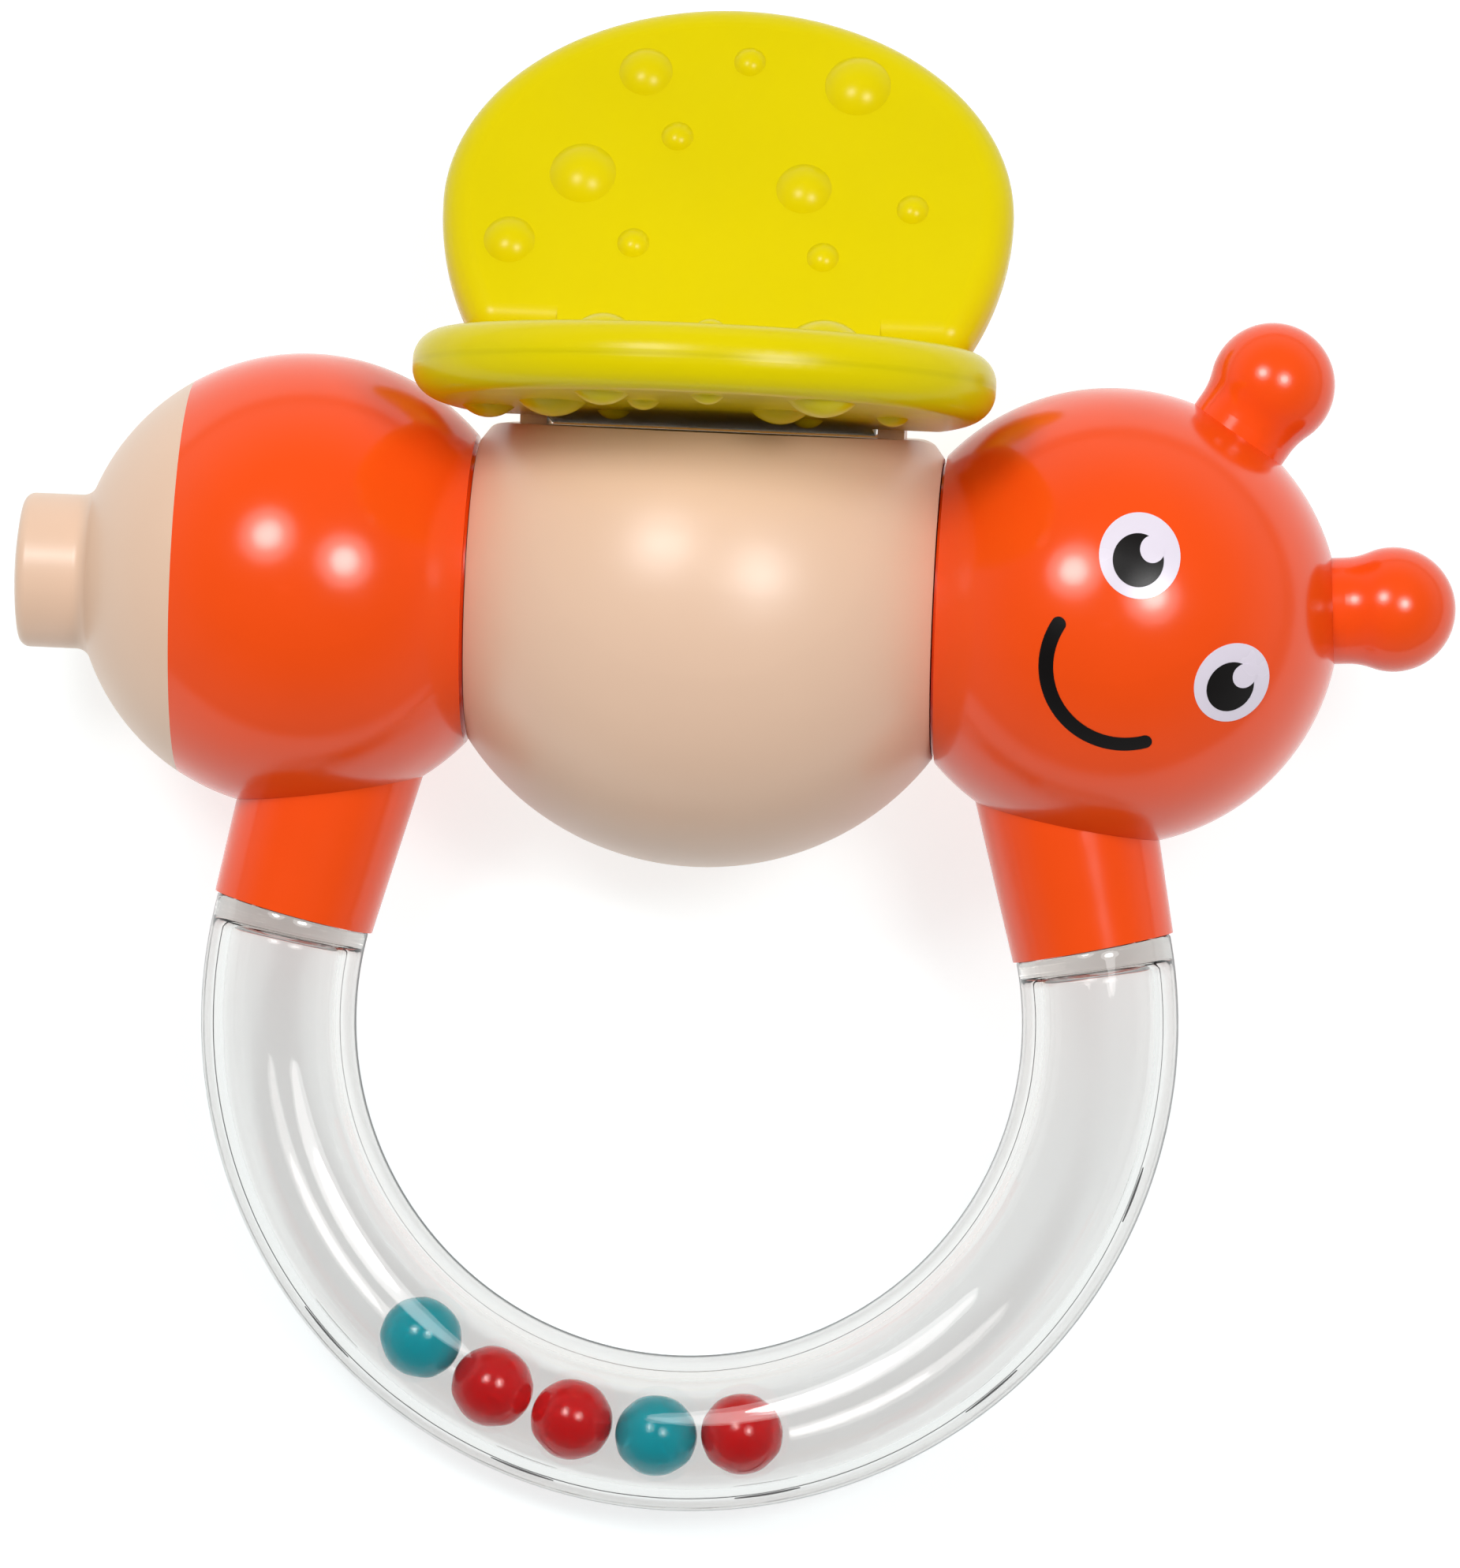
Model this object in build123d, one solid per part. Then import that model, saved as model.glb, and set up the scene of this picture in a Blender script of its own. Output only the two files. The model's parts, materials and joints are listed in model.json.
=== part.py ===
from build123d import *
import math
import os

os.makedirs("parts", exist_ok=True)

# Baby rattle shaped like a winged bug, in millimetres.
# It is drawn in the toy's own frame: origin at the centre of the middle ball, +X along the
# body to the head, +Y up through the wings, +Z out of the face. The ring handle lies in the
# XY plane, which is also where every shell parts. The last step lays the toy on its back.

FAR = 200.0                 # reaches past the whole toy
WALL = 2.0                  # moulded shell thickness
JOINT_GAP = 0.35            # visible gap between the turning ball and its neighbours
RUN = 0.05                  # radial running clearance of a shaft in its hole

# middle ball
MIDDLE_R = 25.0             # across the body
MIDDLE_HALF_LENGTH = 26.1   # half axis along the body, before its ends are cut off
MIDDLE_FACE = 21.6          # half the length of the cut ball
PLATFORM = 15.7             # height of the flat under the wings
PLATFORM_CORNER_X = 18.9
PLATFORM_CORNER_R = 3.5
ROOT_SLOT_FLOOR = 14.4      # sunk bed under the wing hub
ROOT_SLOT_HALF_WIDTH = 4.6

# head and abdomen balls
END_R = 21.3
END_X = 37.67               # distance of their centres from the middle
SEAM_FROM_CENTRE = 10.85    # where the tail cap takes over from the abdomen

# tail cap, a thick chewing end that also balances the antennae
TAIL_WALL = 6.5
LIP_T = 2.0                 # ring that plugs into the abdomen
LIP_LENGTH = 3.0
LIP_ROOT = 1.0
NUB_R = 7.2
NUB_END = 27.0              # from the abdomen's centre to the crown of the nub
NUB_DOME_R = 36.0
NUB_EDGE_R = 1.0
NUB_ROOT_R = 1.5

# ring handle
RING_R = 38.4               # centre line
RING_DROP = 39.6            # how far the ring's centre is below the body axis
TUBE_R = 7.2
TUBE_BORE_R = 5.2
TUBE_END_ANGLE = 13.2       # degrees above horizontal where the clear tube meets its collars
BULKHEAD = 2.0              # closed end of the clear tube
SPIGOT_R = 6.0
SPIGOT_WALL = 1.4
SPIGOT_LENGTH = 6.0
COLLAR_END_R = 7.6
COLLAR_FLARE = 2.4          # degrees, half angle of the collar's taper
COLLAR_RUN = 30.0           # long enough to bury the collar in its ball
BALL_CORE_X = 24.0          # the collar's bore stops here, short of the spindle flange

# beads
BEAD_R = 3.85
BEAD_ORBIT_R = RING_R + 0.45
BEAD_SINK = 0.7             # the beads lie on the low side of the bore
BEAD_ANGLES = (-37.9, -25.9, -14.0, -2.1, 9.8)   # degrees from straight down, towards the head

# wing hinge
PIN_HEIGHT = 19.0           # above the body axis
PIN_R = 1.0
PIN_HALF_LENGTH = 16.9
EAR_INNER = 15.4
EAR_OUTER = 17.9
EAR_R = 3.2
EAR_ROOT = 1.0              # how deep the ears are set into the platform

# wings
WING_T = 6.3
WING_HALF_WIDTH = 26.8
WING_WIDEST = 19.1          # distance from the pin to the widest line
WING_TIP = 21.0             # from the widest line to the tip
WING_TAPER = 28.0           # lower half axis of the outline
WING_START = 4.3            # the blade starts this far from the pin, clear of the ears
WING_CORNER_R = 3.0
WING_EDGE_R = 2.8
WING_WALL = 1.7
WING_RIM = 2.5              # solid rim around the hollow of a blade
STRAP_LENGTH = 9.0          # joins a blade to the hub
HUB_HALF_LENGTH = 15.1
FRONT_WING_LIFT = 5.6       # degrees above horizontal, leaning out over the face side
BACK_WING_LIFT = 117.0      # leans back, away from the face side

# raised dots on the wings: across, out from the pin, radius
WING_DOTS = (
    (-8.5, 32.1, 2.5), (1.2, 33.6, 1.5), (11.5, 31.5, 3.1), (-5.1, 25.4, 1.5),
    (-13.7, 21.1, 3.1), (7.1, 20.4, 2.6), (17.4, 18.7, 1.5), (-20.1, 13.8, 2.4),
    (-8.5, 14.0, 1.5), (9.3, 13.3, 1.5),
)
SMALL_DOT_R = 2.0           # dots under this radius stand prouder for their width
SMALL_DOT_RISE = 0.5        # height over radius
LARGE_DOT_RISE = 0.42

# spindle and washers
SPINDLE_R = 3.0
FLANGE_R = 6.0
FLANGE_T = 1.5
FLANGE_COVER = 1.5          # material behind the flange's bed
WASHER_R = 5.8
WASHER_T = 1.0
WASHER_PLAY = 0.15
BOSS_R = 6.5
BOSS_DEPTH = 4.0
FLANGE_BOSS_R = 7.5
POCKET_R = 6.2

# antennae
ANTENNA_LEAN = (57.5, 4.0)  # degrees above +X
ANTENNA_BALL_R = 5.8
ANTENNA_BALL_AT = 26.3      # from the head's centre
ANTENNA_NECK_R = 4.95
ANTENNA_BLEND_R = 6.0       # where the neck swells into the ball
ANTENNA_WALL = 1.5
ANTENNA_FLANGE_R = 5.75
ANTENNA_FLANGE_T = 1.2
ANTENNA_FLANGE_TOP = 18.4   # from the head's centre, just inside the shell

# locating posts inside the balls: across, up
POST_R = 2.2
PEG_R = 1.2
PEG_LENGTH = 3.0
PEG_SPARE = 0.4             # the socket is this much deeper than its peg
MIDDLE_POSTS = ((0, -15), (0, 8))
HEAD_POSTS = ((0, -9), (-4, 12))
ABDOMEN_POSTS = ((0, -9), (0, 12))


# ---- building blocks ---------------------------------------------------------------------
def half_space(side):
    """Everything in front of (side 1) or behind (side -1) the parting plane."""
    return Pos(0, 0, side * FAR / 2) * Box(2 * FAR, 2 * FAR, FAR)


def split_shell(solid):
    return solid & half_space(1), solid & half_space(-1)


def rod(side, radius, start, end):
    """Cylinder along the body axis between two distances out, to the head (1) or tail (-1)."""
    return Pos(side * (start + end) / 2, 0, 0) * Rot(0, 90, 0) * Cylinder(radius, end - start)


def through_rod(radius, half_length):
    return rod(1, radius, -half_length, half_length)


def slab(side, start, end):
    """Endless slab across the body axis between two distances out on one side."""
    return Pos(side * (start + end) / 2, 0, 0) * Box(end - start, 2 * FAR, 2 * FAR)


def posts(front, rear, x, spots, inside):
    """Locating posts that meet on the parting plane, a peg in front and its socket behind."""
    for across, up in spots:
        place = Pos(x + across, up, 0)
        column = (place * Cylinder(POST_R, FAR)) & inside
        on_plane = place * Pos(0, 0, -PEG_LENGTH / 2)
        peg = on_plane * Cylinder(PEG_R, PEG_LENGTH)
        socket = on_plane * Cylinder(PEG_R + RUN, PEG_LENGTH + PEG_SPARE)
        front = front + (column & half_space(1)) + peg
        rear = rear + (column & half_space(-1)) - socket
    return front, rear


# ---- middle ball -------------------------------------------------------------------------
def middle_body(half_length, radius, face, top, corner_r):
    """Egg-shaped ball with flat ends and a flat on top."""
    upper_half = Pos(0, radius) * Rectangle(4 * radius, 2 * radius)
    egg = revolve(Ellipse(half_length, radius) & upper_half, Axis.X)
    block = RectangleRounded(2 * (PLATFORM_CORNER_X + corner_r), 4 * top, corner_r)
    return egg & extrude(Pos(0, -top) * block, FAR, both=True) & slab(1, -face, face)


def ear(side):
    """Lug that carries one end of the wing pin."""
    middle = Pos(side * (EAR_INNER + EAR_OUTER) / 2, PIN_HEIGHT, 0)
    thickness = EAR_OUTER - EAR_INNER
    height = PIN_HEIGHT - PLATFORM + EAR_ROOT
    foot = middle * Pos(0, -height / 2, 0) * Box(thickness, height, 2 * EAR_R)
    return foot + middle * through_rod(EAR_R, thickness / 2)


def middle_shells():
    outer = middle_body(MIDDLE_HALF_LENGTH, MIDDLE_R, MIDDLE_FACE, PLATFORM, PLATFORM_CORNER_R)
    inner = middle_body(MIDDLE_HALF_LENGTH - WALL, MIDDLE_R - WALL, MIDDLE_FACE - WALL,
                        ROOT_SLOT_FLOOR - WALL, PLATFORM_CORNER_R - WALL)
    shell = outer - inner
    pocket_floor = MIDDLE_FACE + JOINT_GAP - WASHER_T - WASHER_PLAY
    for side in (-1, 1):
        shell += rod(side, BOSS_R, MIDDLE_FACE - WALL - BOSS_DEPTH, MIDDLE_FACE - WALL)
        shell += ear(side)
    for side in (-1, 1):
        shell -= rod(side, POCKET_R, pocket_floor, FAR)
    shell -= through_rod(SPINDLE_R + RUN, FAR)
    slot_top = Pos(0, ROOT_SLOT_FLOOR + FAR / 2, 0)
    slot = slot_top * Box(2 * EAR_INNER, FAR, 2 * ROOT_SLOT_HALF_WIDTH)
    shell -= slot
    shell -= wing_pin()
    front, rear = split_shell(shell)
    return posts(front, rear, 0, MIDDLE_POSTS, inner)


# ---- head and abdomen --------------------------------------------------------------------
def collar_place(side):
    """Centre of the collar's end disc, its X axis pointing up along the ring's tangent."""
    angle = math.radians(TUBE_END_ANGLE)
    x = side * RING_R * math.cos(angle)
    y = RING_R * math.sin(angle) - RING_DROP
    return Pos(x, y, 0) * Rot(0, 0, 90 + side * TUBE_END_ANGLE)


def spigot(side, radius):
    return collar_place(side) * rod(1, radius, 0, SPIGOT_LENGTH)


def end_ball(side):
    """One hollow end ball with its collar, before it is split: side 1 is the head."""
    face = MIDDLE_FACE + JOINT_GAP
    inner_face = face + WALL
    centre = Pos(side * END_X, 0, 0)
    ball = centre * Sphere(END_R)
    hollow = centre * Sphere(END_R - WALL) & slab(side, inner_face, FAR)
    collar_top_r = COLLAR_END_R + COLLAR_RUN * math.tan(math.radians(COLLAR_FLARE))
    cone = Rot(0, 90, 0) * Cone(COLLAR_END_R, collar_top_r, COLLAR_RUN)
    collar = collar_place(side) * Pos(COLLAR_RUN / 2, 0, 0) * cone - ball
    bore = collar_place(side) * rod(1, TUBE_BORE_R, 0, COLLAR_RUN)
    shell = (ball & slab(side, face, FAR)) + collar - hollow
    shell -= bore - slab(1, -BALL_CORE_X, BALL_CORE_X)
    shell -= spigot(side, SPIGOT_R)
    shell += rod(side, FLANGE_BOSS_R, inner_face, inner_face + FLANGE_T + FLANGE_COVER)
    shell -= rod(side, FLANGE_R + RUN, inner_face, inner_face + FLANGE_T + RUN)
    shell -= through_rod(SPINDLE_R, FAR)
    return shell, hollow


def antenna_place(lean):
    return Pos(END_X, 0, 0) * Rot(0, 0, lean)


def antenna_outline():
    """Half profile of the knob above its axis: straight neck, hollow blend, ball."""
    reach = ANTENNA_BALL_R + ANTENNA_BLEND_R
    run = math.sqrt(reach ** 2 - (ANTENNA_NECK_R + ANTENNA_BLEND_R) ** 2)
    turn = math.degrees(math.acos(run / reach))
    blend_at = ANTENNA_BALL_AT - run
    foot = ANTENNA_FLANGE_TOP - ANTENNA_FLANGE_T
    tip = ANTENNA_BALL_AT + ANTENNA_BALL_R
    neck = Polyline((tip, 0), (foot, 0), (foot, ANTENNA_NECK_R), (blend_at, ANTENNA_NECK_R))
    hollow = CenterArc((blend_at, ANTENNA_NECK_R + ANTENNA_BLEND_R), ANTENNA_BLEND_R,
                       -90, 90 - turn)
    ball = CenterArc((ANTENNA_BALL_AT, 0), ANTENNA_BALL_R, 180 - turn, turn - 180)
    return make_face(neck + hollow + ball)


def antenna():
    """Hollow light-bulb knob, with a flange that the head shells trap from inside."""
    knob = revolve(antenna_outline(), Axis.X)
    knob += rod(1, ANTENNA_FLANGE_R, ANTENNA_FLANGE_TOP - ANTENNA_FLANGE_T, ANTENNA_FLANGE_TOP)
    knob -= Pos(ANTENNA_BALL_AT, 0, 0) * Sphere(ANTENNA_BALL_R - ANTENNA_WALL)
    knob -= rod(1, ANTENNA_NECK_R - ANTENNA_WALL, 0, ANTENNA_BALL_AT)
    return knob


def head_parts():
    shell, hollow = end_ball(1)
    for lean in ANTENNA_LEAN:
        shell -= antenna_place(lean) * rod(1, ANTENNA_NECK_R, END_R / 2, FAR)
    front, rear = split_shell(shell)
    front, rear = posts(front, rear, END_X, HEAD_POSTS, hollow)
    upper, lower = ANTENNA_LEAN
    return {
        "head_front_shell": front,
        "head_rear_shell": rear,
        "antenna_upper": antenna_place(upper) * antenna(),
        "antenna_lower": antenna_place(lower) * antenna(),
    }


def tail_cap_outline():
    """Profile through the body axis: the outer slice of the ball and its domed nub."""
    slice_of_ball = Pos(-SEAM_FROM_CENTRE - FAR / 2, 0) * Rectangle(FAR, FAR)
    nub_band = Pos(-SEAM_FROM_CENTRE - FAR / 2, 0) * Rectangle(FAR, 2 * NUB_R)
    dome = Pos(NUB_DOME_R - NUB_END, 0) * Circle(NUB_DOME_R)
    outline = (Circle(END_R) & slice_of_ball) + (nub_band & dome)
    for radius, first in ((NUB_EDGE_R, 0), (NUB_ROOT_R, -2)):
        corners = outline.vertices().filter_by(lambda corner: abs(abs(corner.Y) - NUB_R) < RUN)
        pair = corners.sort_by(Axis.X)[first:][:2]
        outline = fillet(pair, radius)
    return outline & (Pos(0, FAR / 2) * Rectangle(2 * FAR, FAR))


def tail_cap():
    """Thick chewing end with a lip that plugs into the abdomen, drawn about the ball's centre."""
    cap = revolve(tail_cap_outline(), Axis.X) - Sphere(END_R - TAIL_WALL)
    lip_r = math.sqrt((END_R - WALL) ** 2 - SEAM_FROM_CENTRE ** 2) - RUN
    lip_start = SEAM_FROM_CENTRE - LIP_LENGTH
    lip_end = SEAM_FROM_CENTRE + LIP_ROOT
    return cap + (rod(-1, lip_r, lip_start, lip_end) - rod(-1, lip_r - LIP_T, lip_start, lip_end))


def abdomen_parts():
    shell, hollow = end_ball(-1)
    front, rear = split_shell(shell & slab(-1, 0, END_X + SEAM_FROM_CENTRE))
    front, rear = posts(front, rear, -END_X, ABDOMEN_POSTS, hollow)
    return {
        "abdomen_front_shell": front,
        "abdomen_rear_shell": rear,
        "tail_cap": Pos(-END_X, 0, 0) * tail_cap(),
    }


# ---- ring handle -------------------------------------------------------------------------
def ring_arc(radius, half_angle):
    """Bent rod round the ring's centre, reaching half_angle to each side of straight down."""
    section = Pos(RING_R, 0, 0) * Rot(90, 0, 0) * Circle(radius)
    swept = revolve(section, Axis.Z, 2 * half_angle)
    return Pos(0, -RING_DROP, 0) * Rot(0, 0, -90 - half_angle) * swept


def tube_halves():
    half_angle = 90 + TUBE_END_ANGLE
    bulkhead_angle = math.degrees(BULKHEAD / RING_R)
    tube = ring_arc(TUBE_R, half_angle)
    for side in (-1, 1):
        tube += spigot(side, SPIGOT_R)
        tube -= spigot(side, SPIGOT_R - SPIGOT_WALL)
    tube -= ring_arc(TUBE_BORE_R, half_angle - bulkhead_angle)
    return split_shell(tube)


def bead(angle):
    swing = math.radians(angle)
    x = BEAD_ORBIT_R * math.sin(swing)
    y = -BEAD_ORBIT_R * math.cos(swing) - RING_DROP
    return Pos(x, y, -BEAD_SINK) * Sphere(BEAD_R)


# ---- wings -------------------------------------------------------------------------------
def wing_outline(inset):
    """Blade outline in its own plane: +Y points away from the pin."""
    half_width = WING_HALF_WIDTH - inset
    depth = WING_WIDEST - WING_START - inset
    widest = Pos(0, WING_WIDEST)
    tip_side = widest * Pos(0, FAR / 2) * Rectangle(FAR, FAR)
    root_side = widest * Pos(0, -depth / 2) * Rectangle(FAR, depth)
    tip = (widest * Ellipse(half_width, WING_TIP - inset)) & tip_side
    root = (widest * Ellipse(half_width, WING_TAPER - inset)) & root_side
    outline = tip + root
    corners = outline.vertices().sort_by(Axis.Y)[:2]
    return fillet(corners, WING_CORNER_R)


def wing_dot(across, out, radius, side):
    """Shallow round bump on one face of a blade."""
    rise = LARGE_DOT_RISE
    if radius < SMALL_DOT_R:
        rise = SMALL_DOT_RISE
    height = radius * rise
    sphere_r = (radius ** 2 + height ** 2) / (2 * height)
    crown = WING_T / 2 + height
    centre = Pos(across, out, side * (crown - sphere_r))
    above_face = Pos(0, 0, side * (WING_T / 2 - height)) * half_space(side)
    return (centre * Sphere(sphere_r)) & above_face


def blade():
    plate = extrude(wing_outline(0), WING_T / 2, both=True)
    faces = plate.faces().sort_by(Axis.Z)
    plate = fillet(faces[0].edges() + faces[-1].edges(), WING_EDGE_R)
    plate += Pos(0, STRAP_LENGTH / 2, 0) * Box(2 * HUB_HALF_LENGTH, STRAP_LENGTH, WING_T)
    plate -= extrude(wing_outline(WING_RIM), WING_T / 2 - WING_WALL, both=True)
    for across, out, radius in WING_DOTS:
        for side in (-1, 1):
            plate += wing_dot(across, out, radius, side)
    return plate


def wing_shells():
    """The V of two blades on one hub, parted along the middle of both blades."""
    pin_line = Pos(0, PIN_HEIGHT, 0)
    flat_blade = blade()
    pair = pin_line * through_rod(WING_T / 2, HUB_HALF_LENGTH)
    corners = [(0, 0)]
    for lift in (FRONT_WING_LIFT, BACK_WING_LIFT):
        pair += pin_line * Rot(90 - lift, 0, 0) * flat_blade
        angle = math.radians(lift)
        corners.append((FAR * math.sin(angle), FAR * math.cos(angle)))
    pair -= pin_line * through_rod(PIN_R + RUN, FAR)
    # the sketch plane's X is the toy's +Y and its Y is the toy's +Z
    across_body = Plane(origin=(-FAR / 2, PIN_HEIGHT, 0), x_dir=(0, 1, 0), z_dir=(1, 0, 0))
    wedge = extrude(across_body * make_face(Polyline(*corners, close=True)), FAR)
    return pair & wedge, pair - wedge


def wing_pin():
    return Pos(0, PIN_HEIGHT, 0) * through_rod(PIN_R, PIN_HALF_LENGTH)


# ---- middle shaft ------------------------------------------------------------------------
def spindle():
    face = MIDDLE_FACE + JOINT_GAP + WALL
    shaft = through_rod(SPINDLE_R, face)
    for side in (-1, 1):
        shaft += rod(side, FLANGE_R, face, face + FLANGE_T)
    return shaft


def washer(side):
    outer = MIDDLE_FACE + JOINT_GAP
    return rod(side, WASHER_R, outer - WASHER_T, outer) - rod(side, SPINDLE_R, 0, FAR)


# ---- resting pose ------------------------------------------------------------------------
def table_normal():
    """Upward normal of the table, in the toy's frame: the middle ball, the abdomen and the
    ring all touch it, so their supports in the downward direction are equal."""
    lean = 0.1
    pitch = 0.2
    for _ in range(40):
        across = MIDDLE_R ** 2 * (1 - lean ** 2)
        height = math.sqrt(MIDDLE_HALF_LENGTH ** 2 * lean ** 2 + across)
        lean = (height - END_R) / END_X
        pitch = (height - TUBE_R - RING_R * math.hypot(lean, pitch)) / RING_DROP
    return Vector(lean, pitch, math.sqrt(1 - lean ** 2 - pitch ** 2))


def resting_place(shapes):
    """Location that takes the toy from its own frame to lying on its back on z = 0."""
    up = table_normal()
    lying = Plane(origin=(0, 0, 0), x_dir=Vector(1, 0, 0) - up * up.X, z_dir=up)
    turn = lying.location.inverse()
    box = Compound([turn * shape for shape in shapes]).bounding_box()
    centre = box.center()
    return Pos(-centre.X, -centre.Y, -box.min.Z) * turn


# ---- all the pieces ----------------------------------------------------------------------
def all_parts():
    """Every piece in the toy's own frame, as name: solid."""
    parts = head_parts()
    parts.update(abdomen_parts())
    parts["middle_front_shell"], parts["middle_rear_shell"] = middle_shells()
    parts["wing_inner_shell"], parts["wing_outer_shell"] = wing_shells()
    parts["wing_pin"] = wing_pin()
    parts["spindle"] = spindle()
    parts["washer_head_side"] = washer(1)
    parts["washer_tail_side"] = washer(-1)
    parts["tube_front_half"], parts["tube_rear_half"] = tube_halves()
    for number, angle in enumerate(BEAD_ANGLES, 1):
        parts[f"bead_{number}"] = bead(angle)
    return parts


toy = all_parts()
rest = resting_place(toy.values())
for name, shape in toy.items():
    export_step(rest * shape, f"parts/{name}.step")
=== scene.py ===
import json
import math

import bmesh
import bpy
from mathutils import Matrix, Quaternion, Vector


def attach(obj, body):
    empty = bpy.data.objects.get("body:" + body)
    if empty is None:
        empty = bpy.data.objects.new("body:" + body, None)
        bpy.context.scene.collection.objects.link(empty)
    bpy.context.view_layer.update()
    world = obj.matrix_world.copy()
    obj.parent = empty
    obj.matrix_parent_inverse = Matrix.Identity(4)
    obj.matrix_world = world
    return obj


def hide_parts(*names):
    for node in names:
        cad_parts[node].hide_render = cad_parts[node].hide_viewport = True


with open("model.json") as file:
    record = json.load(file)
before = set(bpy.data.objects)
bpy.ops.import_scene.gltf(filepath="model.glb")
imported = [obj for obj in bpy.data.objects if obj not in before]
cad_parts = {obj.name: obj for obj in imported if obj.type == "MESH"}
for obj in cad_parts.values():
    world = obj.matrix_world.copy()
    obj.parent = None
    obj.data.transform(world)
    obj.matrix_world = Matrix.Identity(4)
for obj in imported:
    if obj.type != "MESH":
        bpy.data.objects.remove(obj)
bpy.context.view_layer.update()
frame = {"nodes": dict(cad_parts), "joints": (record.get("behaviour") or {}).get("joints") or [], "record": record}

MM = 0.001

# ---- the toy's own frame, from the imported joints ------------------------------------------
# +X along the body to the head, +Y up through the wings, +Z out of the face
joints = {joint["name"]: joint for joint in frame["joints"]}
along = Vector(joints["middle_spin"]["axis"]).normalized()
outward = Vector(joints["bead_1_run"]["axis"]).normalized()
TOY = Matrix((along, outward.cross(along), outward)).transposed().to_4x4()
TOY.translation = Vector(joints["middle_spin"]["pos_m"])
RING_DROP = -(TOY.inverted() @ Vector(joints["bead_1_run"]["pos_m"])).y / MM

# sizes of the CAD parts that the new pieces fit, in millimetres
HEAD_X = 37.67
HEAD_R = 21.3
RING_R = 38.4
TUBE_R = 7.2
TUBE_BORE_R = 5.2
TUBE_END_ANGLE = math.radians(13.2)
BULKHEAD = 2.0
SPIGOT_R = 6.0
SPIGOT_BORE_R = 4.6
SPIGOT_LENGTH = 6.0


def toy(x, y, z):
    """A point given in the toy's frame in millimetres, in the row frame in metres."""
    return TOY @ (Vector((x, y, z)) * MM)


# ---- camera ------------------------------------------------------------------------------
CAMERA_TURN = (2.1, -3.2, -2.5)             # rotation vector from the toy's frame, in degrees
MIDDLE_SEEN_AT = (-2.17, 17.24, -1200.0)    # the toy's origin in the camera's frame
LENS = 295.5


def add_camera():
    """Long lens from above, a little to the wings' side of the face-on direction."""
    turn = Vector([math.radians(degrees) for degrees in CAMERA_TURN])
    to_camera = Quaternion(turn.normalized(), turn.length).to_matrix()
    offset = Vector(MIDDLE_SEEN_AT) * MM
    pose = to_camera.transposed().to_4x4()
    pose.translation = to_camera.transposed() @ -offset
    data = bpy.data.cameras.new("camera")
    data.lens = LENS
    data.clip_start = 0.05
    data.clip_end = 20
    camera = bpy.data.objects.new("camera", data)
    camera.matrix_world = TOY @ pose
    bpy.context.scene.collection.objects.link(camera)
    bpy.context.scene.camera = camera


# ---- materials ---------------------------------------------------------------------------
NOISE_LOW = 0.3             # a noise texture seldom leaves this range
NOISE_HIGH = 0.7
DRIFT_SCALE = 70            # noise scales, in waves per metre
SHEEN_SCALE = 200
SINK_SCALE = 260
GRAIN_SCALE = 4200
PLASTIC_IOR = 1.5
GLOW_REACH = 1.5            # millimetres that light spreads under a surface
PARTING_HALF_WIDTH = 0.06   # of the seam between two shells, in millimetres
PARTING_DEPTH = 0.06
# painted shade: the colour the seam is multiplied by, standing in for the shadow in its groove
PARTING_PAINTED_SHADE = (0.45, 0.38, 0.35)


def new_material(name):
    """An empty material with one principled shader."""
    material = bpy.data.materials.new(name)
    material.use_nodes = True
    tree = material.node_tree
    tree.nodes.clear()
    shader = tree.nodes.new("ShaderNodeBsdfPrincipled")
    output = tree.nodes.new("ShaderNodeOutputMaterial")
    tree.links.new(shader.outputs[0], output.inputs[0])
    return material, tree, shader


def noise(tree, scale, detail=2.0, roughness=0.5):
    """Noise fixed to the piece."""
    place = tree.nodes.new("ShaderNodeTexCoord")
    node = tree.nodes.new("ShaderNodeTexNoise")
    node.inputs["Scale"].default_value = scale
    node.inputs["Detail"].default_value = detail
    node.inputs["Roughness"].default_value = roughness
    tree.links.new(place.outputs["Object"], node.inputs["Vector"])
    return node.outputs["Fac"]


def spread(tree, factor, low, high):
    """Maps the middle of a noise to a range."""
    node = tree.nodes.new("ShaderNodeMapRange")
    node.inputs["From Min"].default_value = NOISE_LOW
    node.inputs["From Max"].default_value = NOISE_HIGH
    node.inputs["To Min"].default_value = low
    node.inputs["To Max"].default_value = high
    tree.links.new(factor, node.inputs["Value"])
    return node.outputs["Result"]


def mottled(tree, shader, color, amount, scale):
    """Base colour with a slow, faint drift, as coloured plastic has."""
    mix = tree.nodes.new("ShaderNodeMix")
    mix.data_type = "RGBA"
    mix.inputs["A"].default_value = (*[c * (1 - amount) for c in color], 1)
    mix.inputs["B"].default_value = (*[min(1, c * (1 + amount)) for c in color], 1)
    tree.links.new(spread(tree, noise(tree, scale), 0.0, 1.0), mix.inputs["Factor"])
    tree.links.new(mix.outputs["Result"], shader.inputs["Base Color"])


def moulded_surface(tree, shader, wave, grain):
    """Slow waviness of a moulding plus a fine tool finish, both heights in millimetres."""
    slow = tree.nodes.new("ShaderNodeBump")
    slow.inputs["Strength"].default_value = 1.0
    slow.inputs["Distance"].default_value = wave * MM
    tree.links.new(noise(tree, SINK_SCALE, 1.0), slow.inputs["Height"])
    fine = tree.nodes.new("ShaderNodeBump")
    fine.inputs["Strength"].default_value = 1.0
    fine.inputs["Distance"].default_value = grain * MM
    tree.links.new(noise(tree, GRAIN_SCALE, 3.0, 0.6), fine.inputs["Height"])
    tree.links.new(slow.outputs["Normal"], fine.inputs["Normal"])
    tree.links.new(fine.outputs["Normal"], shader.inputs["Normal"])


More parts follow.
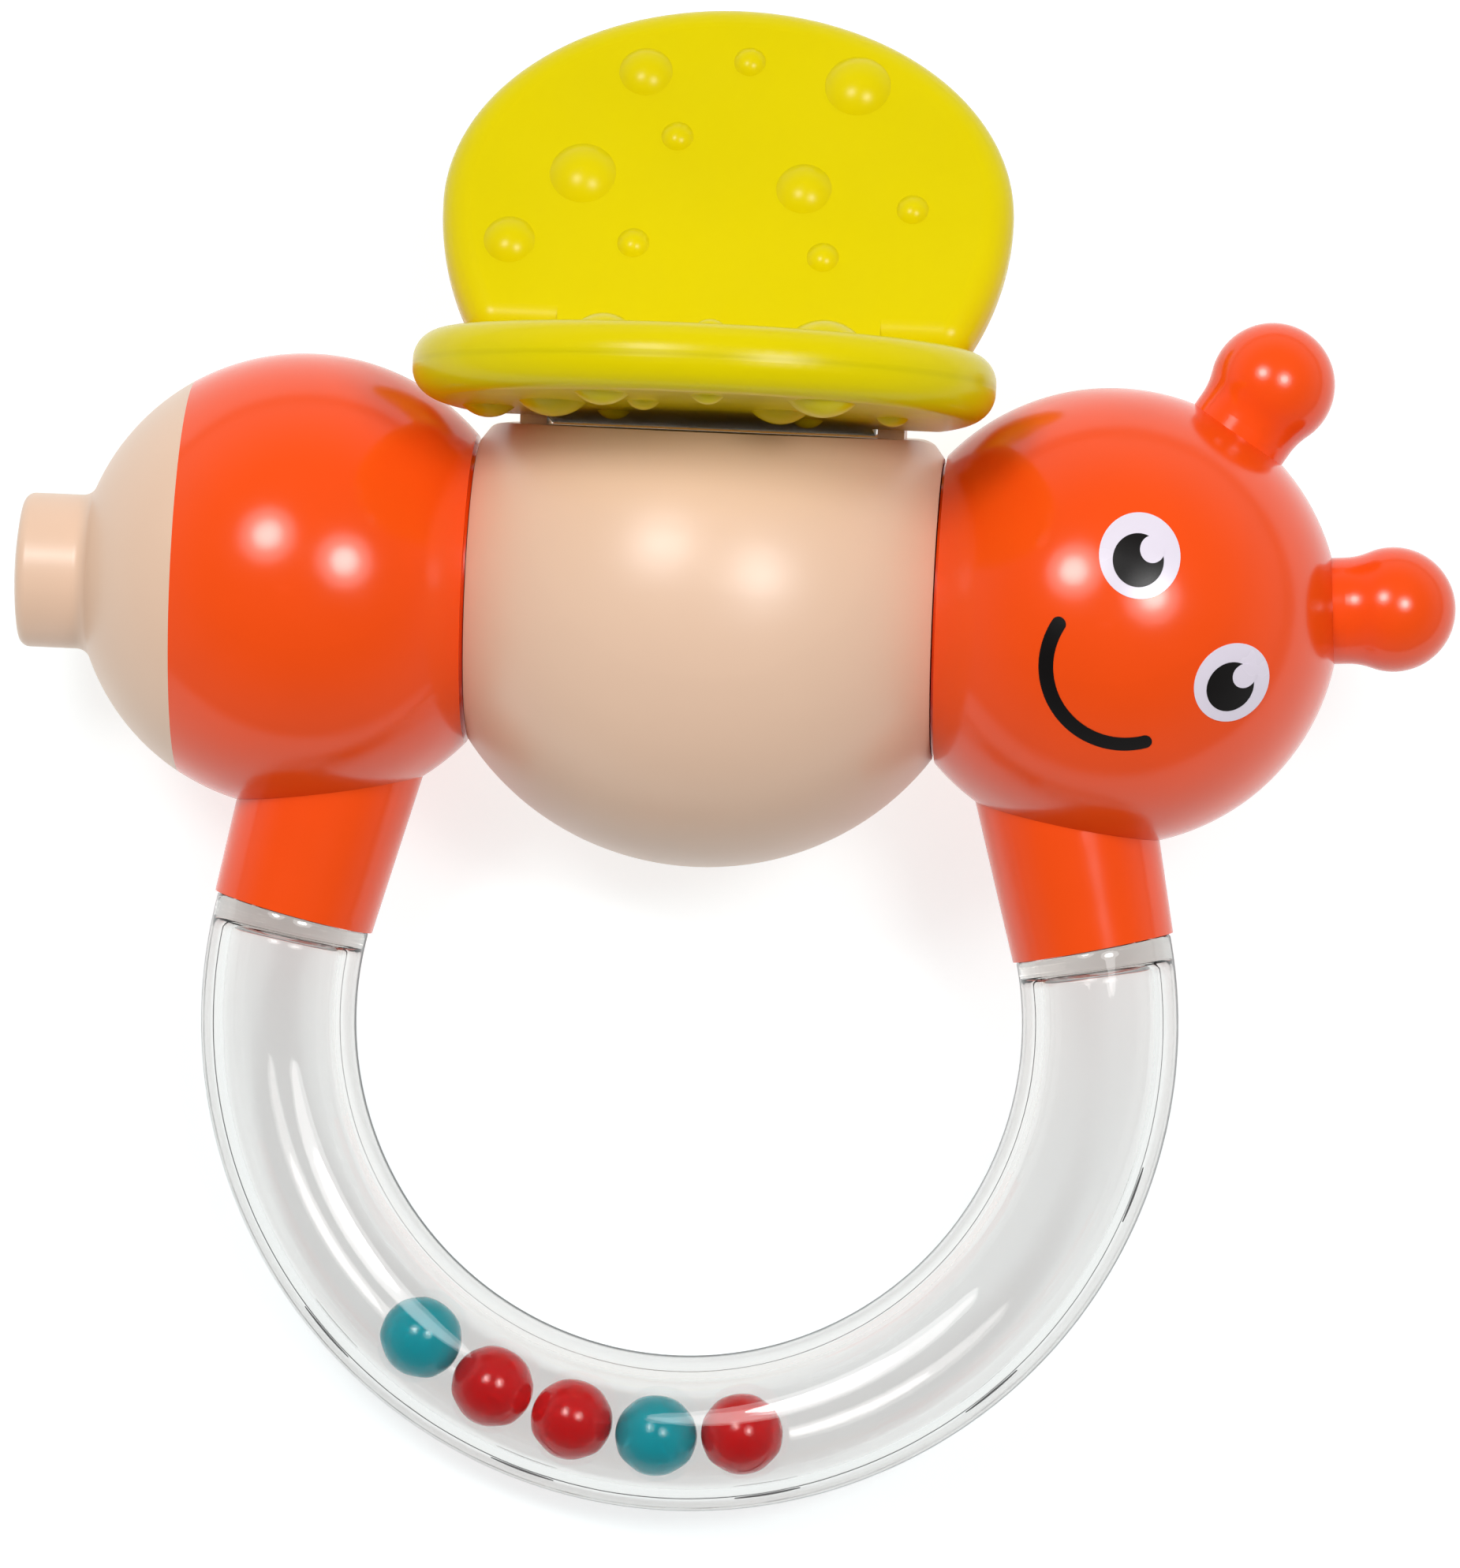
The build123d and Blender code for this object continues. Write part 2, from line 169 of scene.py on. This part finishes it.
def parting_line(tree):
    """1 on the toy's parting plane, where two shell halves meet, falling to 0 beside it."""
    place = tree.nodes.new("ShaderNodeTexCoord")
    away = tree.nodes.new("ShaderNodeVectorMath")
    away.operation = "SUBTRACT"
    away.inputs[1].default_value = TOY.translation
    tree.links.new(place.outputs["Object"], away.inputs[0])
    height = tree.nodes.new("ShaderNodeVectorMath")
    height.operation = "DOT_PRODUCT"
    height.inputs[1].default_value = outward
    tree.links.new(away.outputs["Vector"], height.inputs[0])
    size = tree.nodes.new("ShaderNodeMath")
    size.operation = "ABSOLUTE"
    tree.links.new(height.outputs["Value"], size.inputs[0])
    line = tree.nodes.new("ShaderNodeMapRange")
    line.inputs["From Min"].default_value = PARTING_HALF_WIDTH * MM
    line.inputs["From Max"].default_value = 2 * PARTING_HALF_WIDTH * MM
    line.inputs["To Min"].default_value = 1.0
    line.inputs["To Max"].default_value = 0.0
    tree.links.new(size.outputs["Value"], line.inputs["Value"])
    return line.outputs["Result"]


def add_parting_line(tree, shader):
    """Paints shade along the parting plane, where the seam's groove would lie in shadow, and sinks the surface
    there with a bump.
    """
    line = parting_line(tree)
    # painted shade along the seam
    shade = tree.nodes.new("ShaderNodeMix")
    shade.data_type = "RGBA"
    shade.blend_type = "MULTIPLY"
    shade.inputs["B"].default_value = (*PARTING_PAINTED_SHADE, 1)
    tree.links.new(shader.inputs["Base Color"].links[0].from_socket, shade.inputs["A"])
    tree.links.new(line, shade.inputs["Factor"])
    tree.links.new(shade.outputs["Result"], shader.inputs["Base Color"])
    groove = tree.nodes.new("ShaderNodeBump")
    groove.invert = True
    groove.inputs["Distance"].default_value = PARTING_DEPTH * MM
    tree.links.new(line, groove.inputs["Height"])
    tree.links.new(shader.inputs["Normal"].links[0].from_socket, groove.inputs["Normal"])
    tree.links.new(groove.outputs["Normal"], shader.inputs["Normal"])


def plastic(name, color, roughness, spread_by, glow=0.0, glow_radius=(1, 0.5, 0.3),
            wave=0.012, grain=0.001, mottle=0.03, shine=0.5):
    """Moulded plastic; glow is the share of light that spreads under the surface."""
    material, tree, shader = new_material(name)
    mottled(tree, shader, color, mottle, DRIFT_SCALE)
    sheen = spread(tree, noise(tree, SHEEN_SCALE), roughness - spread_by, roughness + spread_by)
    tree.links.new(sheen, shader.inputs["Roughness"])
    moulded_surface(tree, shader, wave, grain)
    shader.inputs["IOR"].default_value = PLASTIC_IOR
    shader.inputs["Specular IOR Level"].default_value = shine
    shader.inputs["Subsurface Weight"].default_value = glow
    shader.inputs["Subsurface Radius"].default_value = glow_radius
    shader.inputs["Subsurface Scale"].default_value = GLOW_REACH * MM
    return material


def clear_plastic(name, surface, depth_color, density):
    """Clear plastic, a little darker where light goes through more of it."""
    material, tree, shader = new_material(name)
    shader.inputs["Base Color"].default_value = (*surface, 1)
    shader.inputs["Transmission Weight"].default_value = 1.0
    shader.inputs["IOR"].default_value = PLASTIC_IOR
    tree.links.new(spread(tree, noise(tree, 300, 3.0), 0.0, 0.03), shader.inputs["Roughness"])
    bump = tree.nodes.new("ShaderNodeBump")
    bump.inputs["Strength"].default_value = 1.0
    bump.inputs["Distance"].default_value = 0.02 * MM
    tree.links.new(noise(tree, 220, 1.0), bump.inputs["Height"])
    tree.links.new(bump.outputs["Normal"], shader.inputs["Normal"])
    depth = tree.nodes.new("ShaderNodeVolumeAbsorption")
    depth.inputs["Color"].default_value = (*depth_color, 1)
    depth.inputs["Density"].default_value = density
    tree.links.new(depth.outputs["Volume"], tree.nodes["Material Output"].inputs["Volume"])
    return material


def brushed_metal(name):
    material, tree, shader = new_material(name)
    mottled(tree, shader, (0.6, 0.6, 0.62), 0.06, 900)
    shader.inputs["Metallic"].default_value = 1.0
    tree.links.new(spread(tree, noise(tree, 3000, 3.0), 0.25, 0.4), shader.inputs["Roughness"])
    return material


def make_materials():
    """One material for each slot of the record."""
    return {
        "orange": plastic("orange_gloss", (0.88, 0.075, 0.005), 0.17, 0.02, shine=0.42),
        "beige": plastic("beige_satin", (0.78, 0.54, 0.39), 0.33, 0.012, mottle=0.01),
        "lime": plastic("lime_soft", (0.70, 0.58, 0.0), 0.24, 0.02, glow=0.3,
                        glow_radius=(1, 0.9, 0.1), wave=0.02, mottle=0.015, shine=0.16),
        "steel": brushed_metal("pin_steel"),
        "shaft_plastic": plastic("shaft_white", (0.75, 0.75, 0.72), 0.45, 0.08),
        "clear": clear_plastic("tube_clear", (0.99, 0.99, 0.99), (0.90, 0.893, 0.885), 420),
        "teal_bead": plastic("bead_teal", (0.003, 0.52, 0.63), 0.12, 0.03),
        "red_bead": plastic("bead_red", (0.92, 0.002, 0.004), 0.12, 0.03),
    }


SPLIT_NODES = ("head_front_shell", "head_rear_shell", "abdomen_front_shell",
               "abdomen_rear_shell", "middle_front_shell", "middle_rear_shell")


def dress_cad_nodes(materials):
    """Each node gets its slot's material; the split shells also show the seam between them, sunk and with shade
    painted along it.
    """
    seam_painted_shade = {}
    for slot in ("orange", "beige"):
        seam_painted_shade[slot] = materials[slot].copy()
        seam_painted_shade[slot].name = f"{slot}_seamed"
        tree = seam_painted_shade[slot].node_tree
        add_parting_line(tree, tree.nodes["Principled BSDF"])
    slots = {part["node"]: part["material_slot"] for part in frame["record"]["subparts"]}
    for name, node in frame["nodes"].items():
        source = seam_painted_shade if name in SPLIT_NODES else materials
        node.data.materials.clear()
        node.data.materials.append(source[slots[name]])


# ---- mesh helpers ------------------------------------------------------------------------
def finish_piece(name, shape, material, body, sharp=40):
    """Makes a smooth-shaded object of the bmesh and ties it to its body and slot."""
    mesh = bpy.data.meshes.new(name)
    shape.to_mesh(mesh)
    shape.free()
    for polygon in mesh.polygons:
        polygon.use_smooth = True
    mesh.set_sharp_from_angle(angle=math.radians(sharp))
    mesh.materials.append(material)
    piece = bpy.data.objects.new(name, mesh)
    bpy.context.scene.collection.objects.link(piece)
    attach(piece, body)
    return piece


# ---- printed face ------------------------------------------------------------------------
EYE_ACROSS = 7.35
EYE_UP = 6.5
EYE_R = 3.75
EYE_SQUEEZE = 0.97          # the eyes are a little narrower towards the face's centre
PUPIL_R = 2.35
PUPIL_SHIFT = (0.17, -0.33)
GLINT_R = 1.15
GLINT_SHIFT = (0.05, 1.6)   # from the pupil's centre
MOUTH_R = 7.4
MOUTH_HALF_ANGLE = math.radians(68)
MOUTH_CENTRE_UP = -0.3
MOUTH_WIDTH = 1.3
FACE_SHIFT = (1.5, 0.65)    # how far the face's centre moves back, across and up
INK_ROOT = -0.06            # the ink starts this far inside the ball's surface
EYE_LIFT = 0.05             # and each layer of it stands this far out
PUPIL_LIFT = 0.08
GLINT_LIFT = 0.11


def face_axes():
    """Across, up and out of the face at its centre, between the eyes and the smile."""
    across = Vector((0.590, -0.753, -0.290)).normalized()
    out = Vector((0.187, -0.222, 0.957)).normalized()
    out = (out * HEAD_R - across * FACE_SHIFT[0]).normalized()
    across = (across - out * across.dot(out)).normalized()
    out = (out * HEAD_R - out.cross(across) * FACE_SHIFT[1]).normalized()
    return across, out.cross(across), out


FACE_ACROSS, FACE_UP, FACE_OUT = face_axes()


def on_face(across, up, lift):
    """A point of the head's surface under (across, up) on the face, raised by lift."""
    depth = math.sqrt(max(0.0, HEAD_R ** 2 - across ** 2 - up ** 2))
    normal = (FACE_ACROSS * across + FACE_UP * up + FACE_OUT * depth).normalized()
    point = Vector((HEAD_X, 0, 0)) + normal * (HEAD_R + lift)
    return toy(*point)


def print_grid(name, rows, lift, material, disc):
    """Raised ink from a grid of face points: top, sunk underside and the walls round it.
    The rows of a disc are its rings, from the centre out, and only the last one is an edge."""
    shape = bmesh.new()
    tops = [[shape.verts.new(on_face(a, u, lift)) for a, u in row] for row in rows]
    unders = [[shape.verts.new(on_face(a, u, INK_ROOT)) for a, u in row] for row in rows]
    count = len(rows[0])
    for i in range(len(rows) - 1):
        for j in range(count - 1):
            shape.faces.new((tops[i][j], tops[i + 1][j], tops[i + 1][j + 1], tops[i][j + 1]))
            shape.faces.new((unders[i][j], unders[i][j + 1], unders[i + 1][j + 1],
                             unders[i + 1][j]))
    if disc:
        border = [(len(rows) - 1, j) for j in range(count - 1)]
    else:
        border = [(0, j) for j in range(count)] + [(i, count - 1) for i in range(1, len(rows))]
        border += [(len(rows) - 1, j) for j in range(count - 2, -1, -1)]
        border += [(i, 0) for i in range(len(rows) - 2, 0, -1)]
    for here, there in zip(border, border[1:] + border[:1]):
        shape.faces.new((tops[here[0]][here[1]], tops[there[0]][there[1]],
                         unders[there[0]][there[1]], unders[here[0]][here[1]]))
    bmesh.ops.remove_doubles(shape, verts=shape.verts, dist=2e-6)
    bmesh.ops.recalc_face_normals(shape, faces=shape.faces)
    finish_piece(name, shape, material, "frame", 60)


def disc_rows(centre, radius, squeeze=1.0, steps=64, rings=8):
    """Rings of a disc, narrowed by squeeze along the line from the face's centre."""
    away = Vector(centre).normalized()
    rows = []
    for ring in range(rings + 1):
        row = []
        for step in range(steps + 1):
            angle = 2 * math.pi * step / steps
            reach = Vector((math.cos(angle), math.sin(angle))) * radius * ring / rings
            reach += away * reach.dot(away) * (squeeze - 1)
            row.append((centre[0] + reach.x, centre[1] + reach.y))
        rows.append(row)
    return rows


def mouth_rows(steps=48, cap_steps=10, lanes=6):
    """Rows across the smile's line, closer together round its two ends. A station is its
    place along the line, from -1 to 1 between the ends' centres, and its share of the width."""
    rows = []
    half = MOUTH_WIDTH / 2
    turns = [math.pi / 2 * step / cap_steps for step in range(cap_steps)]
    beyond = half / (MOUTH_R * MOUTH_HALF_ANGLE)
    stations = [(-1 - beyond * math.cos(turn), math.sin(turn)) for turn in turns]
    stations += [(2 * step / steps - 1, 1) for step in range(steps + 1)]
    stations += [(-at, share) for at, share in reversed(stations[:cap_steps])]
    for at, share in stations:
        angle = MOUTH_HALF_ANGLE * at
        width = half * max(share, 0.02)
        row = []
        for lane in range(lanes + 1):
            reach = MOUTH_R - width + 2 * width * lane / lanes
            row.append((reach * math.sin(angle), MOUTH_CENTRE_UP - reach * math.cos(angle)))
        rows.append(row)
    return rows


def add_face():
    white = plastic("eye_white", (0.76, 0.70, 0.80), 0.25, 0.04)
    black = plastic("ink_black", (0.006, 0.005, 0.005), 0.3, 0.05, mottle=0.2, shine=0.25)
    for name, side in (("left", -1), ("right", 1)):
        centre = (side * EYE_ACROSS, EYE_UP)
        pupil = (centre[0] + PUPIL_SHIFT[0], centre[1] + PUPIL_SHIFT[1])
        glint = (pupil[0] + GLINT_SHIFT[0], pupil[1] + GLINT_SHIFT[1])
        print_grid(f"eye_{name}", disc_rows(centre, EYE_R, EYE_SQUEEZE), EYE_LIFT, white, True)
        print_grid(f"pupil_{name}", disc_rows(pupil, PUPIL_R, EYE_SQUEEZE), PUPIL_LIFT, black,
                   True)
        print_grid(f"glint_{name}", disc_rows(glint, GLINT_R), GLINT_LIFT, white, True)
    print_grid("smile", mouth_rows(), EYE_LIFT, black, False)


# ---- rubbing rings in the two gaps of the turning ball ------------------------------------
MIDDLE_FACE = 21.6
JOINT_GAP = 0.35
RUBBING_RING_R = 13.6           # a little inside the rims of the two flats
RUBBING_RING_INNER_R = 11.6
RUBBING_RING_CLEAR = 0.1        # from the turning ball
RUBBING_RING_ROOT = 0.05        # into the end ball


def add_rubbing_rings(material):
    """A low ring on the flat of each end ball, which fills most of the gap inside its rim."""
    near = MIDDLE_FACE + RUBBING_RING_CLEAR
    far = MIDDLE_FACE + JOINT_GAP + RUBBING_RING_ROOT
    steps = 128
    turns = [2 * math.pi * step / steps for step in range(steps)]
    corners = ((near, RUBBING_RING_R), (far, RUBBING_RING_R),
               (far, RUBBING_RING_INNER_R), (near, RUBBING_RING_INNER_R))
    for name, side in (("head", 1), ("tail", -1)):
        shape = bmesh.new()
        loops = []
        for x, radius in corners:
            places = [(side * x, radius * math.cos(t), radius * math.sin(t)) for t in turns]
            loops.append([shape.verts.new(toy(*place)) for place in places])
        for here, there in zip(loops, loops[1:] + loops[:1]):
            for step in range(steps):
                after = (step + 1) % steps
                shape.faces.new((here[step], there[step], there[after], here[after]))
        bmesh.ops.recalc_face_normals(shape, faces=shape.faces)
        finish_piece(f"rubbing_ring_{name}", shape, material, "frame")


# ---- bed under the wing hub --------------------------------------------------------------
HUB_BED_HALF_LENGTH = 15.3
HUB_BED_FROM = 14.2
HUB_BED_PARTS = ((-4.5, 4.5, 15.66), (-4.5, -3.7, 15.98))   # back, front and top of each
HUB_BED_EDGE = 0.1


def add_hub_bed(material):
    """Pad that fills the slot of the platform, with a low lip behind the hub of the wings."""
    shape = bmesh.new()
    for back, front, top in HUB_BED_PARTS:
        for vertex in bmesh.ops.create_cube(shape, size=1.0)["verts"]:
            vertex.co = toy(math.copysign(HUB_BED_HALF_LENGTH, vertex.co.x),
                            HUB_BED_FROM if vertex.co.y < 0 else top,
                            back if vertex.co.z < 0 else front)
    bmesh.ops.bevel(shape, geom=shape.edges[:], offset=HUB_BED_EDGE * MM, segments=3,
                    affect="EDGES")
    bmesh.ops.recalc_face_normals(shape, faces=shape.faces)
    finish_piece("hub_bed", shape, material, "middle")


# ---- clear handle tube -------------------------------------------------------------------
ARC_LENGTH = (math.pi + 2 * TUBE_END_ANGLE) * RING_R
TUBE_SEGMENTS = 192
TUBE_STEPS = 200
SEAM_RIDGE = 0.1            # height of the weld line on the parting plane
SEAM_SPREAD = 0.22
END_EDGE = 0.3              # rounding of the tube's ends
BORE_END_EDGE = 0.6
DRAW_MARKS = ((0.006, 5, 1.0), (0.003, 13, 0.5), (0.002, 22, 2.0))   # height, waves, phase


def along_tube(s):
    """Centre and axis of the tube at s millimetres from its tail-side face; straight outside."""
    inside = min(max(s, 0.0), ARC_LENGTH)
    angle = math.pi - TUBE_END_ANGLE + inside / RING_R
    centre = Vector((RING_R * math.cos(angle), RING_R * math.sin(angle) - RING_DROP, 0))
    axis = Vector((-math.sin(angle), math.cos(angle), 0))
    return centre + axis * (s - inside), axis


def skin(shape, stations, ridge):
    """Closed skin round the tube's path through (s, radius) stations, poles at radius 0.
    Shallow waves round its section run the whole length, as the marks of the mould do."""
    rings = []
    for s, radius in stations:
        centre, axis = along_tube(s)
        side = axis.cross(Vector((0, 0, 1)))
        if radius == 0:
            rings.append([shape.verts.new(toy(*centre))])
            continue
        ring = []
        for step in range(TUBE_SEGMENTS):
            angle = 2 * math.pi * step / TUBE_SEGMENTS
            swell = ridge * math.exp(-(math.sin(angle) * radius / SEAM_SPREAD) ** 2)
            swell += sum(height * (math.sin(waves * angle + phase) - 1)
                         for height, waves, phase in DRAW_MARKS)
            out = side * math.cos(angle) + Vector((0, 0, 1)) * math.sin(angle)
            ring.append(shape.verts.new(toy(*(centre + out * (radius + swell)))))
        rings.append(ring)
    for lower, upper in zip(rings, rings[1:]):
        for step in range(TUBE_SEGMENTS):
            after = (step + 1) % TUBE_SEGMENTS
            if len(lower) == 1:
                shape.faces.new((lower[0], upper[step], upper[after]))
            elif len(upper) == 1:
                shape.faces.new((lower[step], upper[0], lower[after]))
            else:
                shape.faces.new((lower[step], upper[step], upper[after], lower[after]))


def add_tube(material):
    """The whole tube with its closed ends, spigots and sealed bore, as one clear piece."""
    start = [(0, 0), (0, SPIGOT_BORE_R), (-SPIGOT_LENGTH, SPIGOT_BORE_R),
             (-SPIGOT_LENGTH, SPIGOT_R), (0, SPIGOT_R), (0.02, TUBE_R - 0.3),
             (0.1, TUBE_R - 0.1), (END_EDGE, TUBE_R)]
    span = ARC_LENGTH - 2 * END_EDGE
    body = [(END_EDGE + span * i / TUBE_STEPS, TUBE_R) for i in range(1, TUBE_STEPS)]
    outer = start + body + [(ARC_LENGTH - s, radius) for s, radius in reversed(start)]
    bore_start = BULKHEAD + BORE_END_EDGE
    rim = [(BULKHEAD, 0), (BULKHEAD, TUBE_BORE_R - BORE_END_EDGE),
           (BULKHEAD + 0.18, TUBE_BORE_R - 0.18), (bore_start, TUBE_BORE_R)]
    bore_span = ARC_LENGTH - 2 * bore_start
    bore = [(bore_start + bore_span * i / TUBE_STEPS, TUBE_BORE_R)
            for i in range(1, TUBE_STEPS)]
    inner = rim + bore + [(ARC_LENGTH - s, radius) for s, radius in reversed(rim)]
    shape = bmesh.new()
    skin(shape, outer, SEAM_RIDGE)
    bmesh.ops.recalc_face_normals(shape, faces=shape.faces)
    solid_faces = set(shape.faces)
    skin(shape, inner, 0.0)
    cavity = [face for face in shape.faces if face not in solid_faces]
    bmesh.ops.recalc_face_normals(shape, faces=cavity)
    bmesh.ops.reverse_faces(shape, faces=cavity)
    tube = finish_piece("handle_tube", shape, material, "frame")
    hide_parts("tube_front_half", "tube_rear_half")


WELD_MARKS = ((-18.5, 7), (-48.0, 8), (-78.0, 8), (-108.0, 8), (-137.0, 8))   # degrees: at, span
WELD_MARK_DEPTH = 0.35      # under the tube's outer side
WELD_MARK_HALF = (0.2, 0.28)    # in the ring's plane and across it
WELD_MARK_STEPS = 14
WELD_MARK_SEGMENTS = 12


def weld_mark_ring(at, taper):
    """Places round one oval section of a mark."""
    places = []
    for around in range(WELD_MARK_SEGMENTS):
        turn = 2 * math.pi * around / WELD_MARK_SEGMENTS
        reach = RING_R + TUBE_R - WELD_MARK_DEPTH + WELD_MARK_HALF[0] * taper * math.cos(turn)
        places.append(toy(reach * math.cos(at), reach * math.sin(at) - RING_DROP,
                          WELD_MARK_HALF[1] * taper * math.sin(turn)))
    return places


def add_weld_marks():
    """Short grey dashes in the tube's outer wall, where its halves are welded."""
    ink = plastic("weld_grey", (0.11, 0.10, 0.11), 0.4, 0.08, mottle=0.3)
    for number, (at, span) in enumerate(WELD_MARKS, 1):
        shape = bmesh.new()
        rings = []
        for step in range(WELD_MARK_STEPS + 1):
            share = step / WELD_MARK_STEPS
            taper = math.sin(math.pi * (0.08 + 0.84 * share)) ** 0.5
            places = weld_mark_ring(math.radians(at + span * (share - 0.5)), taper)
            rings.append([shape.verts.new(place) for place in places])
        for lower, upper in zip(rings, rings[1:]):
            for i in range(WELD_MARK_SEGMENTS):
                j = (i + 1) % WELD_MARK_SEGMENTS
                shape.faces.new((lower[i], upper[i], upper[j], lower[j]))
        shape.faces.new(rings[0])
        shape.faces.new(rings[-1])
        bmesh.ops.recalc_face_normals(shape, faces=shape.faces)
        finish_piece(f"weld_mark_{number}", shape, ink, "frame")


# ---- stage and light ---------------------------------------------------------------------
SHEET_HALF = 0.27           # metres from here on
TABLE_HALF = 1.5
TABLE_HEIGHT = -0.002
LAMP_TARGET = (0, 0, 0.02)
LAMPS = (("left", (-0.54, 0.30, 1.37)), ("right", (0.44, 0.03, 1.43)))
SOFTBOX = (0.34, 6.2)       # diameter and power of the bright middle of each lamp
HALO = (0.72, 5.0)          # and of the weaker light round it
HEIGHT_RANGE = (0.0, 0.7)   # from the horizon up
HEIGHT_LIGHT = (0.60, 0.14)
SIDE_RANGE = (-0.8, 0.8)    # from the ring's side of the room to the wings' side
SIDE_LIGHT = (0.65, 1.3)


def add_sheet(name, half_size, height, color, glow):
    """A square of backdrop that also gives off its own even light, as a light table does."""
    mesh = bpy.data.meshes.new(name)
    shape = bmesh.new()
    bmesh.ops.create_grid(shape, x_segments=1, y_segments=1, size=half_size)
    shape.to_mesh(mesh)
    shape.free()
    floor = bpy.data.objects.new(name, mesh)
    floor.location.z = height
    material, tree, shader = new_material(name)
    shader.inputs["Base Color"].default_value = (*color, 1)
    shader.inputs["Emission Color"].default_value = (1, 1, 1, 1)
    shader.inputs["Emission Strength"].default_value = glow
    tree.links.new(spread(tree, noise(tree, 40), 0.6, 0.7), shader.inputs["Roughness"])
    mesh.materials.append(material)
    bpy.context.scene.collection.objects.link(floor)


def add_light(name, place, size, power):
    data = bpy.data.lights.new(name, "AREA")
    data.shape = "DISK"
    data.size = size
    data.energy = power
    lamp = bpy.data.objects.new(name, data)
    lamp.location = place
    aim = Vector(LAMP_TARGET) - Vector(place)
    lamp.rotation_mode = "QUATERNION"
    lamp.rotation_quaternion = aim.to_track_quat("-Z", "Y")
    bpy.context.scene.collection.objects.link(lamp)


def add_lights():
    """Two round lamps, each brighter in its middle."""
    for name, place in LAMPS:
        add_light(f"softbox_{name}", place, *SOFTBOX)
        add_light(f"halo_{name}", place, *HALO)


def ramp(tree, value, value_range, light):
    """Smooth change of light over a range of a direction's component."""
    node = tree.nodes.new("ShaderNodeMapRange")
    node.interpolation_type = "SMOOTHSTEP"
    node.inputs["From Min"].default_value = value_range[0]
    node.inputs["From Max"].default_value = value_range[1]
    node.inputs["To Min"].default_value = light[0]
    node.inputs["To Max"].default_value = light[1]
    tree.links.new(value, node.inputs["Value"])
    return node.outputs["Result"]


def add_world():
    """White studio, dimmer overhead, where a glossy part mirrors the dark end of the room."""
    world = bpy.data.worlds.new("studio")
    world.use_nodes = True
    tree = world.node_tree
    place = tree.nodes.new("ShaderNodeTexCoord")
    split = tree.nodes.new("ShaderNodeSeparateXYZ")
    tree.links.new(place.outputs["Generated"], split.inputs["Vector"])
    both = tree.nodes.new("ShaderNodeMath")
    both.operation = "MULTIPLY"
    tree.links.new(ramp(tree, split.outputs["Z"], HEIGHT_RANGE, HEIGHT_LIGHT), both.inputs[0])
    tree.links.new(ramp(tree, split.outputs["Y"], SIDE_RANGE, SIDE_LIGHT), both.inputs[1])
    background = tree.nodes["Background"]
    background.inputs["Color"].default_value = (1, 1, 1, 1)
    tree.links.new(both.outputs["Value"], background.inputs["Strength"])
    bpy.context.scene.world = world


# ---- the scene ---------------------------------------------------------------------------
bpy.context.scene.view_settings.view_transform = "Standard"
add_camera()
materials = make_materials()
dress_cad_nodes(materials)
add_face()
add_rubbing_rings(materials["orange"])
add_hub_bed(materials["beige"])
add_tube(materials["clear"])
add_weld_marks()
add_sheet("white_sheet", SHEET_HALF, 0, (0.30, 0.355, 0.36), 0.76)
add_sheet("table", TABLE_HALF, TABLE_HEIGHT, (0.3, 0.3, 0.3), 0.12)
add_world()
add_lights()
